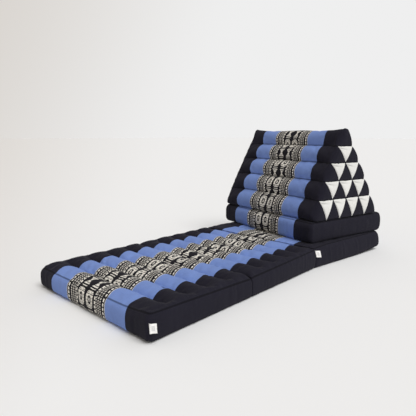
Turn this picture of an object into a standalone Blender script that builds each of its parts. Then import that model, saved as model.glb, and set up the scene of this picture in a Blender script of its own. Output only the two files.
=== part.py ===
"""Fold-out Thai triangle cushion: a wedge backrest sewn to a chain of four channelled mats.

The foot mat and the middle mat lie open on the floor. The lower mat carries the rest of the
chain, and the upper mat is folded back over it with the wedge on top. Every cushion is one
filled solid: crowned channels, drawn-in corners, bulging side walls and a flat underside.

Local axes: X runs from the foot end to the wedge, Y across the width, Z up. The origin is on
the floor, under the middle of the whole object.
"""
from dataclasses import dataclass
from math import cos, pi, radians, sin

import bpy
import numpy as np

# --- Driving dimensions, in metres -------------------------------------------------------
WIDTH = 0.53                # seam to seam across every mat and the wedge's foot
CHANNELS = 5                # sewn channels in a mat
CHANNEL = 0.0755            # one channel, along the chain
MAT_LENGTH = CHANNELS * CHANNEL
MAT_HEIGHT = 0.076          # crown of a channel
WALL_BULGE = 0.006          # how far a side wall swells past its seams
WALL_FOOT = 0.003           # how far the underside is drawn in at the floor
MAT_CORNER = 0.010          # plan radius of a mat's corner
CROWN_RUN = 0.034           # length over which a channel rises from a side seam
EDGE_RUN = 0.016            # length over which the seam line fades into the valleys
GAP = 0.0003                # clearance between neighbouring cushions

WEDGE_FRONT_CORNER = 0.022  # plan radius of the wedge's upright corners, front and back
WEDGE_BACK_CORNER = 0.010
WEDGE_TOP_INSET = 0.018     # how much each end leans in over the full height
WEDGE_FOOT_DEPTH = 0.352    # front to back at the foot of the wedge
ROW_HEIGHTS = (0.076, 0.067, 0.066, 0.062, 0.064)      # from the foot to the top roll
WEDGE_HEIGHT = sum(ROW_HEIGHTS)
FRONT_ROLL = 0.020          # how far a front roll swells past its creases
BACK_ROLL = 0.006
END_ROLL = 0.005
RIDGE_DEPTH = 0.020         # how far the back is let out where the top roll closes
RIDGE_SAG = 0.006           # how far the ridge dips between its raised corners

LABEL_WIDTH = 0.0150        # along the wall
LABEL_FLARE = 0.0095        # how far a label's loose edge stands off the wall
LABEL_HEIGHT = 0.023
LABEL_THICKNESS = 0.0012
LABEL_STANDOFF = 0.0008     # clearance under a label, whose facets cut the wall's curve short

# --- Facet counts ------------------------------------------------------------------------
STEPS_PER_CHANNEL = 6
MAT_STEPS_ACROSS = 12
WEDGE_STEPS_DEEP = 8
WEDGE_STEPS_ACROSS = 14


@dataclass(frozen=True)
class Edge:
    """One cross edge of a mat in plan: its right end and its turn, clockwise from above."""

    x: float
    y: float
    turn: float

    def point(self, share):
        """Return the plan point a share of the width along the edge."""
        angle = radians(self.turn)
        reach = share * WIDTH
        return np.stack([self.x + reach * np.sin(angle), self.y + reach * np.cos(angle)], axis=-1)

    def forward(self):
        """Return the unit plan direction square to the edge, along the chain."""
        angle = radians(self.turn)
        return np.array([cos(angle), -sin(angle)])


@dataclass(frozen=True)
class Loft:
    """How full a mat stands: heights of its side seam and of its stitched valleys."""

    seam: float
    valley: float


OPEN = Loft(seam=0.062, valley=0.058)          # crowns stand free
LOADED = Loft(seam=0.067, valley=0.061)        # walls puffed out under the folded stack
PRESSED = Loft(seam=0.070, valley=0.068)       # crowns pressed flat under the wedge


@dataclass(frozen=True)
class Mat:
    """A box cushion of the chain: its node name, two cross edges, loft and the height it lies at.

    The near swell is how many times further than the other walls the near one bulges.
    """

    name: str
    near: Edge
    far: Edge
    loft: Loft = OPEN
    base: float = 0.0
    near_swell: float = 1.0


JOINT = WALL_BULGE + GAP / 2          # from a joint's plane to the seam beside it
FOOT_SHIFT = 0.0135                   # how far the right ends of the cross edges lie towards the
FOOT_TURN = 1.46                      # foot, and the turns that this gives them
FIRST_SHIFT = 0.010
FIRST_TURN = 1.08
SECOND_SHIFT = 0.017
SECOND_TURN = 1.0
STACK_TURN = 13.0                     # the folded stack's turn against the open mats
UPPER_SHIFT = -0.018
UPPER_TURN = 15.0
END_SWELL = 2.0                       # bulge of the two free end walls, in wall bulges
STACK_BASE = MAT_HEIGHT + GAP
WEDGE_BASE = STACK_BASE + MAT_HEIGHT + GAP
STACK_SLACK = 0.014                   # how much further the folded mats reach than the open ones
STACK_FRONT = Edge(2 * MAT_LENGTH + 0.038, 0.032, STACK_TURN)


def further(edge, distance):
    """Return the edge moved along the chain, square to itself."""
    step = distance * edge.forward()
    return Edge(float(edge.x + step[0]), float(edge.y + step[1]), edge.turn)


def turned(edge, turn):
    """Return the edge with another turn about its right end."""
    return Edge(edge.x, edge.y, turn)


MATS = (
    Mat("mat_foot", near=Edge(WALL_BULGE - FOOT_SHIFT, 0.0, FOOT_TURN),
        far=Edge(MAT_LENGTH - JOINT - FIRST_SHIFT, 0.0, FIRST_TURN), near_swell=END_SWELL),
    Mat("mat_middle", near=Edge(MAT_LENGTH + JOINT - FIRST_SHIFT, 0.0, FIRST_TURN),
        far=Edge(2 * MAT_LENGTH - JOINT - SECOND_SHIFT, 0.0, SECOND_TURN)),
    Mat("mat_lower", near=Edge(2 * MAT_LENGTH + JOINT - SECOND_SHIFT, -0.001, SECOND_TURN),
        far=Edge(3 * MAT_LENGTH + STACK_SLACK + 0.008, -0.062, 7.5), loft=LOADED),
    Mat("mat_upper", near=turned(further(STACK_FRONT, UPPER_SHIFT), UPPER_TURN),
        far=further(STACK_FRONT, MAT_LENGTH + STACK_SLACK - WALL_BULGE), loft=PRESSED, base=STACK_BASE,
        near_swell=END_SWELL),
)


# --- Surfaces ----------------------------------------------------------------------------
def arch(phase):
    """Return the height of a stuffed roll, 0 to 1, across its width from crease to crease."""
    return np.sin(pi * np.clip(phase, 0.0, 1.0)) ** 0.65


def rounded(x, y, length, width, near_radius, far_radius):
    """Bend the corners of a rectangle's grid into quarter circles, leaving the rest in place.

    The two corners at x = 0 have the near radius, and the two at x = length the far one.
    """
    radius = np.where(x < length / 2, near_radius, far_radius)
    px = np.maximum(radius - np.minimum(x, length - x), 0.0)
    py = np.maximum(radius - np.minimum(y, width - y), 0.0)
    far = np.maximum(np.maximum(px, py), 1e-9)
    steep = pi / 4 * np.minimum(px, py) / far
    along = np.where(px >= py, far * np.cos(steep), far * np.sin(steep))
    across = np.where(px >= py, far * np.sin(steep), far * np.cos(steep))
    corner = (px > 0) & (py > 0)
    side_x = np.where(x < length / 2, 1.0, -1.0)
    side_y = np.where(y < width / 2, 1.0, -1.0)
    return (np.where(corner, x + side_x * (px - along), x),
            np.where(corner, y + side_y * (py - across), y))


def unit_grid(steps_x, steps_y):
    """Return the grid shares s and t, 0 to 1, each of shape (steps_x + 1, steps_y + 1)."""
    return np.meshgrid(np.linspace(0, 1, steps_x + 1), np.linspace(0, 1, steps_y + 1), indexing="ij")


def eased(shares):
    """Crowd evenly spaced shares a little towards both ends, where the surface turns most."""
    return shares - 0.09 * np.sin(2 * pi * shares)


def mat_plan(mat, s, t, spread):
    """Return plan points of a mat's grid, swollen past its seams by the given spread."""
    length = MAT_LENGTH + 2 * spread
    width = WIDTH + 2 * spread
    x, y = rounded(s * length, t * width, length, width, MAT_CORNER, MAT_CORNER)
    past_near = mat.near_swell * np.minimum(x - spread, 0.0)[..., None]
    past_far = np.maximum(x - spread - MAT_LENGTH, 0.0)[..., None]
    along = np.clip((x - spread) / MAT_LENGTH, 0.0, 1.0)[..., None]
    share = (y - spread) / WIDTH
    between = (1 - along) * mat.near.point(share) + along * mat.far.point(share)
    return between + past_near * mat.near.forward() + past_far * mat.far.forward()


def mat_top_height(loft, s, t):
    """Return the height of the channelled top panel above a mat's underside.

    Each channel is a roll across the width: its height is an arch between two valleys, and it
    rises from the side seams over CROWN_RUN like a quarter ellipse. The seam line itself runs
    a little above the valleys and fades into them over EDGE_RUN.
    """
    phase = np.mod(s * CHANNELS, 1.0)
    from_side = np.minimum(t, 1 - t) * WIDTH
    from_end = np.minimum(s, 1 - s) * MAT_LENGTH
    rise = np.sqrt(1 - (1 - np.clip(from_side / CROWN_RUN, 0, 1)) ** 2)
    edge = np.clip(1 - np.minimum(from_side, from_end) / EDGE_RUN, 0, 1)
    base = loft.valley + (loft.seam - loft.valley) * edge
    return base + (MAT_HEIGHT - base) * arch(phase) * rise


def rim(steps_x, steps_y):
    """Return the grid indices around a grid's outline, anticlockwise seen from above."""
    south = [(i, 0) for i in range(steps_x)]
    east = [(steps_x, j) for j in range(steps_y)]
    north = [(i, steps_y) for i in range(steps_x, 0, -1)]
    west = [(0, j) for j in range(steps_y, 0, -1)]
    return south + east + north + west


def closed_box(top, walls, bottom):
    """Return points and faces of a closed box-like skin.

    The top and bottom are point grids of the same shape. The walls are point loops between
    them, from the top down, each with the points of the grids' outline.
    """
    steps_x, steps_y = top.shape[0] - 1, top.shape[1] - 1
    outline = rim(steps_x, steps_y)
    count = len(outline)
    points = np.concatenate([top.reshape(-1, 3), *walls, bottom.reshape(-1, 3)])
    top_index = np.arange(top.shape[0] * top.shape[1]).reshape(top.shape[:2])
    bottom_index = top_index + len(points) - top_index.size
    loops = [[int(top_index[i, j]) for i, j in outline]]
    for row in range(len(walls)):
        start = top_index.size + row * count
        loops.append(list(range(start, start + count)))
    loops.append([int(bottom_index[i, j]) for i, j in outline])
    faces = []
    for i in range(steps_x):
        for j in range(steps_y):
            cell = ((i, j), (i + 1, j), (i + 1, j + 1), (i, j + 1))
            faces.append([int(top_index[c]) for c in cell])
            faces.append([int(bottom_index[c]) for c in reversed(cell)])
    for upper, lower in zip(loops, loops[1:]):
        for k in range(count):
            following = (k + 1) % count
            faces.append([lower[k], lower[following], upper[following], upper[k]])
    return points, faces


def outline_of(grid):
    """Return the points around a point grid's outline."""
    return np.array([grid[i, j] for i, j in rim(grid.shape[0] - 1, grid.shape[1] - 1)])


def with_height(plan, height):
    """Stack plan points and heights into space points."""
    return np.concatenate([plan, np.broadcast_to(height, plan.shape[:-1])[..., None]], axis=-1)


# Side wall of a mat from the seam down: share of the seam's height, and spread past the seam.
WALL_ROWS = ((0.72, 0.8), (0.45, 1.0), (0.18, 0.85), (0.04, 0.25))


def mat_skin(mat):
    """Return the points and faces of one mat."""
    s, t = unit_grid(STEPS_PER_CHANNEL * CHANNELS, MAT_STEPS_ACROSS)
    t = eased(t)
    top = with_height(mat_plan(mat, s, t, 0.0), mat.base + mat_top_height(mat.loft, s, t))
    walls = []
    for height_share, spread_share in WALL_ROWS:
        plan = mat_plan(mat, s, t, spread_share * WALL_BULGE)
        walls.append(outline_of(with_height(plan, mat.base + height_share * mat.loft.seam)))
    bottom = with_height(mat_plan(mat, s, t, -WALL_FOOT), mat.base)
    return closed_box(top, walls, bottom)


def front_line(height):
    """Return the depth of the front creases at a height above the wedge's foot."""
    return 0.43 * height + 0.22 * height ** 2


def back_line(height):
    """Return the depth of the back creases at a height above the wedge's foot."""
    share = height / WEDGE_HEIGHT
    return WEDGE_FOOT_DEPTH - 0.585 * height + 0.012 * np.sin(pi * share) + RIDGE_DEPTH * share ** 8


def wedge_loop(s, t, height, front, back, ends):
    """Return a level grid of the wedge, swollen past its crease lines on each side."""
    lean = WEDGE_TOP_INSET * height / WEDGE_HEIGHT
    start = front_line(height) - front
    depth = back_line(height) + back - start
    across = WIDTH - 2 * lean + 2 * ends
    u, v = rounded(s * depth, t * across, depth, across,
                   min(WEDGE_FRONT_CORNER, 0.45 * depth), min(WEDGE_BACK_CORNER, 0.45 * depth))
    u = u + start
    v = v + lean - ends
    angle = radians(STACK_TURN)
    x = STACK_FRONT.x + u * np.cos(angle) + v * np.sin(angle)
    y = STACK_FRONT.y - u * np.sin(angle) + v * np.cos(angle)
    return with_height(np.stack([x, y], axis=-1), WEDGE_BASE + height)


# Phases of a row's rings between its creases.
ROW_PHASES = (0.10, 0.28, 0.50, 0.72, 0.90, 1.0)


def wedge_skin():
    """Return the points and faces of the wedge.

    The wedge is a pile of five rows. Every row swells between the crease below it and the one
    above, most at the front, where it is a roll, and a little at the ends and the back.
    """
    s, t = unit_grid(WEDGE_STEPS_DEEP, WEDGE_STEPS_ACROSS)
    s = eased(s)
    t = eased(t)
    bottom = wedge_loop(s, t, 0.0, -0.004, -0.004, -0.004)
    walls = []
    foot = 0.0
    for row, row_height in enumerate(ROW_HEIGHTS):
        last = row == len(ROW_HEIGHTS) - 1
        for phase in ROW_PHASES:
            level = foot + phase * row_height
            swell = float(arch(phase * 0.86 if last else phase))
            walls.append(outline_of(wedge_loop(s, t, level, FRONT_ROLL * swell, BACK_ROLL * swell,
                                               END_ROLL * swell)))
        foot += row_height
    walls.pop()
    top = wedge_loop(s, t, WEDGE_HEIGHT, 0.003, 0.001, -0.001)
    top[..., 2] -= RIDGE_SAG * (1 - np.abs(2 * t - 1) ** 4)
    return closed_box(top, walls[::-1], bottom)


def label_skin(mat, along, top_height):
    """Return the points and faces of a cloth label sewn by one edge to a mat's right side wall.

    It starts at a length from the near seam, follows the wall down and stands off towards its
    loose edge.
    """
    heights = [0.0, *[share for share, _ in reversed(WALL_ROWS)], 1.0]
    spreads = [-WALL_FOOT, *[WALL_BULGE * share for _, share in reversed(WALL_ROWS)], 0.0]
    s, t = unit_grid(3, 4)
    height = top_height - LABEL_HEIGHT * (1 - t)
    sheets = []
    for standoff in (LABEL_STANDOFF + LABEL_THICKNESS, LABEL_STANDOFF):
        spread = np.interp(height / mat.loft.seam, heights, spreads) + standoff + LABEL_FLARE * s
        share = (along + LABEL_WIDTH * s + spread) / (MAT_LENGTH + 2 * spread)
        sheets.append(with_height(mat_plan(mat, share, np.zeros_like(t), spread), mat.base + height))
    return closed_box(sheets[0], [], sheets[1])


# --- Materials and objects ---------------------------------------------------------------
def fabric(name, colour, roughness):
    """Return a plain cloth material."""
    material = bpy.data.materials.new(name)
    material.use_nodes = True
    shader = material.node_tree.nodes["Principled BSDF"]
    shader.inputs["Base Color"].default_value = (*colour, 1.0)
    shader.inputs["Roughness"].default_value = roughness
    shader.inputs["Metallic"].default_value = 0.0
    material.diffuse_color = (*colour, 1.0)
    return material


def add_object(name, points, faces, material, shift):
    """Make one smooth-shaded object from points and faces."""
    mesh = bpy.data.meshes.new(name)
    mesh.from_pydata([tuple(map(float, p)) for p in points - shift], [], faces)
    mesh.validate()
    mesh.update()
    mesh.materials.append(material)
    mesh.shade_smooth()
    node = bpy.data.objects.new(name, mesh)
    bpy.context.scene.collection.objects.link(node)
    return node


def clear_scene():
    """Remove every object that the scene starts with."""
    for node in list(bpy.data.objects):
        bpy.data.objects.remove(node, do_unlink=True)


# Cloth labels: node name, the mat it is sewn to, length from the near seam, height of its top.
LABELS = (("label_foot", 0, -0.006, 0.052), ("label_lower", 2, -0.001, 0.062))


def main():
    """Build the whole cushion set."""
    clear_scene()
    navy = fabric("navy_cotton", (0.018, 0.017, 0.027), 0.92)
    white = fabric("white_label_cloth", (0.84, 0.82, 0.78), 0.8)
    skins = [(mat.name, mat_skin(mat), navy) for mat in MATS]
    skins.append(("wedge", wedge_skin(), navy))
    for name, mat_number, along, top_height in LABELS:
        skins.append((name, label_skin(MATS[mat_number], along, top_height), white))
    every_point = np.concatenate([points for _, (points, _), _ in skins])
    lowest, highest = every_point.min(axis=0), every_point.max(axis=0)
    shift = np.array([(lowest[0] + highest[0]) / 2, (lowest[1] + highest[1]) / 2, lowest[2]])
    for name, (points, faces), material in skins:
        add_object(name, points, faces, material, shift)


main()
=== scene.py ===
"""Looks of the fold-out Thai triangle cushion: stuffed covers, patchwork, labels, stage and view.

The frame holds the plain solids. Every cushion here is a closed, channelled skin worked out on
a grid, let out by cloth simulation between its seams, and dressed in striped cotton.
In the chain's own axes X runs from the foot end to the wedge, Y across the width and Z up.
"""
import logging
import math
from dataclasses import dataclass
from enum import Enum

import bpy
import numpy as np
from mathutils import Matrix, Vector


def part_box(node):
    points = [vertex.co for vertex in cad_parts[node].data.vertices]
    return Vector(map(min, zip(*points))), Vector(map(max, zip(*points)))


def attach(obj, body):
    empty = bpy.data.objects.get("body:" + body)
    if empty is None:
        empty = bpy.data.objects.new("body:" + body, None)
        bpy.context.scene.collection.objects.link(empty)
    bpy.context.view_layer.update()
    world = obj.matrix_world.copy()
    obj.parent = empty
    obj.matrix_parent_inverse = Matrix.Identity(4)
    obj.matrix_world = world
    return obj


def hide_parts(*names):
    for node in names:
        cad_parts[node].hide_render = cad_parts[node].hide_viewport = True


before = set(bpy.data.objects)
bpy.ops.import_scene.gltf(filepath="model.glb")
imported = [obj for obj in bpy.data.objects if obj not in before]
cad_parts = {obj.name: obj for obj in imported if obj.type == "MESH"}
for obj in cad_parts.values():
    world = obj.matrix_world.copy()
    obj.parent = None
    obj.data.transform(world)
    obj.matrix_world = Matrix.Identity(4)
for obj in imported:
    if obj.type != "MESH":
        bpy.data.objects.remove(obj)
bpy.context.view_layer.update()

LOG = logging.getLogger("triangle_cushion")
Array = np.ndarray

# --- Sizes of the mats, in metres --------------------------------------------------------
WIDTH = 0.53
CHANNELS = 5
CHANNEL = 0.0755
MAT_LENGTH = CHANNELS * CHANNEL
MAT_HEIGHT = 0.076
MAT_CORNER = 0.012          # plan radius of the corners at a free end
JOINED_CORNER = 0.35        # share of that radius at a joined end
WALL_BULGE = 0.006
WALL_SWELL = 0.8            # share of the bulge that a wall reaches before it is stuffed
WALL_FOOT = 0.003           # how far a wall's foot is drawn in
WALL_FOOT_SHARE = 0.08      # share of the wall's height over which it is
CROWN_RUN = 0.040           # how far in from a side seam the crown has risen
GROOVE_START = 0.006        # how far in from a side seam a stitched valley starts to sink
GROOVE_RUN = 0.044          # and the length over which it sinks
EDGE_RUN = 0.016            # how far in from a cross seam the valleys rise to meet it
GAP = 0.0003                # clearance between stacked cushions
JOINT = 0.0009              # from a joint's plane to the seam beside it
JOINED_SWELL = 0.12         # bulge of a joined wall, in wall bulges
END_SWELL = 2.0             # bulge of the foot end's wall, in wall bulges
UPPER_SWELL = 1.4 * END_SWELL
FOOT_REACH = 0.0191         # from the foot mat's lowest x to the chain's origin
FOOT_SHIFT = 0.0135         # how far the right ends of the cross edges lie towards the foot,
FOOT_TURN = 1.46            # and the turns that this gives them
FIRST_SHIFT = 0.010
FIRST_TURN = 1.08
SECOND_SHIFT = 0.017
SECOND_TURN = 1.0
UPPER_SHIFT = -0.018
UPPER_TURN = 15.0
SEAM_PULL = 0.07            # how far in from the right side its seam is drawn up or down
SINK_RUN = 0.045            # length from the near end over which a mat sinks
LIFT_START = 0.6            # share of the length where the far right corner starts to lift
LIFT_WIDTH = 0.2            # width of the part that lifts with it
STACK_TURN = 13.0
STACK_SLACK = 0.014
ROLL_UNEVEN = 0.05          # share by which the rolls' heights differ
ROLL_WAVE = 0.16            # wavelength of that unevenness
ROLL_STEP = 0.37            # how far apart neighbouring rolls lie in the unevenness
RUMPLES = ((0.0013, 0.11), (0.0005, 0.015))     # height and wavelength of the walls' rumples

# --- Sizes of the wedge ------------------------------------------------------------------
WEDGE_FRONT_CORNER = 0.028
WEDGE_BACK_CORNER = 0.008
WEDGE_TOP_INSET = 0.018
WEDGE_FOOT_DEPTH = 0.352
ROW_HEIGHTS = (0.076, 0.067, 0.066, 0.062, 0.064)
WEDGE_HEIGHT = sum(ROW_HEIGHTS)
ROW_BOUNDS = np.concatenate([[0.0], np.cumsum(ROW_HEIGHTS)])
FRONT_LEAN = 0.43           # depth gained by the front creases for each metre of height,
FRONT_CURVE = 0.22          # and for each square metre of it
BACK_LEAN = 0.585           # depth lost by the back creases for each metre of height
BACK_BOW = 0.012            # how far they bow out half way up
FRONT_ROLL = 0.020
BACK_ROLL = 0.006
END_ROLL = 0.005
TOP_PHASE = 0.90            # share of its arch that the top row runs through
RIDGE_DEPTH = 0.020
RIDGE_SAG = 0.008
RIDGE_RUN = 0.03            # height below the ridge over which it sags
CREASE_FILL = 0.016         # how much shallower the front creases are at the ends
CREASE_FILL_RUN = 0.045     # width over which they are
CREASE_FILL_RISE = 0.04     # height over which this starts from the foot

# --- Seams and the cloth's layout --------------------------------------------------------
CREASE_SHADE_RUN = 0.0028         # how far from a seam the painted shade in the creases reaches
GATHER = 0.0011             # depth of the gathers along the seams
SEWN = 1e-6                 # a vertex this near to a seam is on it
NAVY_SHARE = 0.160          # of the width, from each side seam to the blue stripe
BAND_SHARE = 0.322          # of the width, from each side seam to the patterned band
BLUE_EDGE = (0.5 - NAVY_SHARE) * WIDTH
BAND_EDGE = (0.5 - BAND_SHARE) * WIDTH
LABEL_WIDTH = 0.0178
LABEL_HEIGHT = 0.023


class Side(Enum):
    """The four walls of a box cushion, seen from above."""

    RIGHT = "right"
    FAR = "far"
    LEFT = "left"
    NEAR = "near"


class SlotName(Enum):
    """The material slots."""

    NAVY = "navy_cotton"
    WHITE = "white_cotton"
    LABEL = "label_cloth"


# --- Plan and height functions -----------------------------------------------------------
def arch(phase: Array) -> Array:
    """Return the height of a stuffed roll, 0 to 1, from crease to crease: a sine to the 0.65."""
    return np.sin(np.pi * np.clip(phase, 0.0, 1.0)) ** 0.65


def eased(shares: Array, amount: float = 0.09) -> Array:
    """Crowd even shares towards 0 and 1 by taking off a share of their own sine."""
    return shares - amount * np.sin(2 * np.pi * shares)


def evenly(steps: int, amount: float = 0.0) -> Array:
    """Return the shares from 0 to 1 in a number of steps, crowded towards the ends by an amount."""
    return eased(np.linspace(0, 1, steps + 1), amount)


def from_ends(shares: Array) -> Array:
    """Return each share's distance from the nearer of 0 and 1."""
    return np.minimum(shares, 1 - shares)


def rounded(x: Array, y: Array, size: tuple, near_radius: float, far_radius: float) -> tuple:
    """Bend the corners of a rectangle's grid into quarter circles.

    In a corner's square, a point keeps its larger distance from the circle's centre as its
    radius, and its smaller one, as a share of the larger, becomes up to 45 degrees of turn.

    Args:
        x: Lengths from the near edge.
        y: Lengths from the right edge.
        size: The rectangle's length along x and width along y.
        near_radius: Radius of the two corners at x = 0.
        far_radius: Radius of the two corners at the full length.

    Returns:
        The bent x and y.
    """
    length, width = size
    radius = np.where(x < length / 2, near_radius, far_radius)
    px = np.maximum(radius - np.minimum(x, length - x), 0.0)
    py = np.maximum(radius - np.minimum(y, width - y), 0.0)
    far = np.maximum(np.maximum(px, py), 1e-9)
    steep = np.pi / 4 * np.minimum(px, py) / far
    along = np.where(px >= py, far * np.cos(steep), far * np.sin(steep))
    across = np.where(px >= py, far * np.sin(steep), far * np.cos(steep))
    corner = (px > 0) & (py > 0)
    side_x = np.where(x < length / 2, 1.0, -1.0)
    side_y = np.where(y < width / 2, 1.0, -1.0)
    return (np.where(corner, x + side_x * (px - along), x),
            np.where(corner, y + side_y * (py - across), y))


def ripple(a: Array, b: Array, wave: float, seed: int, terms: int = 7) -> Array:
    """Return smooth seeded unevenness, about -1 to 1, over two lengths in metres.

    It is a sum of sines whose directions, phases and wavelengths, from 0.6 to 1.9 times the
    given one, are drawn from the seed.

    Args:
        a: First coordinate.
        b: Second coordinate.
        wave: Typical wavelength in metres.
        seed: Seed of the draw.
        terms: Number of sines.

    Returns:
        The sum, divided by the square root of the number of terms.
    """
    draw = np.random.default_rng(seed)
    total = np.zeros(np.broadcast(a, b).shape)
    for _ in range(terms):
        turn = draw.uniform(0, 2 * np.pi)
        pace = 2 * np.pi / (wave * draw.uniform(0.6, 1.9))
        total = total + np.sin(pace * (a * np.cos(turn) + b * np.sin(turn)) + draw.uniform(0, 2 * np.pi))
    return total / math.sqrt(terms)


@dataclass(frozen=True)
class Edge:
    """One cross edge of a mat in plan: its right end and its turn in degrees, clockwise from above."""

    x: float
    y: float
    turn: float

    def point(self, share: Array) -> Array:
        """Return plan points a share of the width along the edge."""
        angle, reach = math.radians(self.turn), share * WIDTH
        return np.stack([self.x + reach * math.sin(angle), self.y + reach * math.cos(angle)], axis=-1)

    def forward(self) -> Array:
        """Return the unit plan direction square to the edge, along the chain."""
        angle = math.radians(self.turn)
        return np.array([math.cos(angle), -math.sin(angle)])

    def further(self, distance: float) -> "Edge":
        """Return the edge moved along the chain, square to itself."""
        step = distance * self.forward()
        return Edge(float(self.x + step[0]), float(self.y + step[1]), self.turn)

    def turned(self, turn: float) -> "Edge":
        """Return the edge with another turn about its right end."""
        return Edge(self.x, self.y, turn)


@dataclass(frozen=True)
class Loft:
    """How full a mat stands: heights of its side seam and of its stitched valleys."""

    seam: float
    valley: float


OPEN = Loft(seam=0.062, valley=0.057)
LOADED = Loft(seam=0.0745, valley=0.071)
PRESSED = Loft(seam=0.0735, valley=0.071)
STACK_FRONT = Edge(2 * MAT_LENGTH + 0.038, 0.032, STACK_TURN)
STACK_BACK = Edge(3 * MAT_LENGTH + STACK_SLACK + 0.008, -0.062, 7.5)


def chain_origin() -> Array:
    """Return the frame's place of the chain's own origin: the foot mat's right near seam."""
    low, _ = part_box("mat_foot")
    return np.array([low.x + FOOT_REACH, low.y + WALL_BULGE, low.z])


# --- Skins -------------------------------------------------------------------------------
@dataclass
class Skin:
    """A closed skin of quads, with its cloth map and what its seams need.

    Attributes:
        points: Vertex places, one row each.
        quads: Vertex numbers of each quad, anticlockwise from outside.
        cloth: Place of each quad's corners on the cloth, in metres.
        crease_shade: Painted shade in the creases for each vertex, 0 to 1, from the nearness to a seam.
        along: Length along the nearest seam for each vertex.
        clear: Distance from the nearest seam for each vertex.
        seam: Distance from the nearest visible seam line for each vertex.
        held: Whether a vertex is sewn or pressed and stays put in the simulation.
    """

    points: Array
    quads: Array
    cloth: Array
    crease_shade: Array
    along: Array
    clear: Array
    seam: Array
    held: Array


class Panels:
    """Gathers the panels of a skin: their quads and the cloth places of the quads' corners."""

    def __init__(self) -> None:
        """Start with no panels."""
        self.quads: list = []
        self.cloth: list = []

    def add(self, index: Array, places: Array, flip: bool = False) -> None:
        """Add the quads of one grid.

        Args:
            index: Vertex numbers on the grid.
            places: Cloth places on the same grid.
            flip: Whether the faces turn the other way.
        """
        here, after = slice(None, -1), slice(1, None)
        corners = [(here, here), (after, here), (after, after), (here, after)]
        if flip:
            corners = corners[::-1]
        self.quads.append(np.stack([index[corner] for corner in corners], axis=-1).reshape(-1, 4))
        self.cloth.append(np.stack([places[corner] for corner in corners], axis=-2).reshape(-1, 4, 2))

    def add_rim(self, front: Array, back: Array, flip: bool = False) -> None:
        """Close a thin sheet between the outlines of its front and back grids."""
        for side in Side:
            run = wall_run(front, [], back, side)
            self.add(run[::-1] if flip else run, np.zeros((*run.shape, 2)))

    def skin(self, points: Array, **marks: Array) -> Skin:
        """Return the skin that these panels make of the points, with its seam marks."""
        return Skin(points, np.concatenate(self.quads), np.concatenate(self.cloth), **marks)


def wall_run(top: Array, rows: list, bottom: Array, side: Side) -> Array:
    """Return one wall's vertex numbers, from the top down, along the outline's own direction.

    Args:
        top: Vertex numbers of the top grid.
        rows: Vertex numbers of each wall loop, as grids that are only valid on their outline.
        bottom: Vertex numbers of the bottom grid.
        side: The wall.

    Returns:
        A grid with one row for each level.
    """
    cuts = {Side.RIGHT: np.s_[:, 0], Side.FAR: np.s_[-1, :], Side.LEFT: np.s_[::-1, -1],
            Side.NEAR: np.s_[0, ::-1]}
    return np.stack([level[cuts[side]] for level in [top, *rows, bottom]])


def stacked(top: Array, levels: list, bottom: Array) -> tuple:
    """Number the vertices of a pile: a top grid, the outlines of the levels, and a bottom grid.

    Args:
        top: Points of the top grid.
        levels: Points of each level's grid, from the top down.
        bottom: Points of the bottom grid.

    Returns:
        All points, then the vertex numbers of the top, of each level, -1 inside its outline,
        and of the bottom.
    """
    edge = np.zeros(top.shape[:2], bool)
    edge[0, :] = edge[-1, :] = edge[:, 0] = edge[:, -1] = True
    ring = int(edge.sum())
    top_index = np.arange(edge.size).reshape(edge.shape)
    rows = []
    for number in range(len(levels)):
        index = np.full(edge.shape, -1)
        index[edge] = edge.size + number * ring + np.arange(ring)
        rows.append(index)
    points = [top.reshape(-1, 3), *[level[edge] for level in levels], bottom.reshape(-1, 3)]
    return np.concatenate(points), top_index, rows, top_index + edge.size + len(levels) * ring


def lengths_along(points: Array) -> Array:
    """Return running lengths along a line of points, starting at 0."""
    steps = np.linalg.norm(np.diff(points, axis=0), axis=-1)
    return np.concatenate([[0.0], np.cumsum(steps)])


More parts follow.
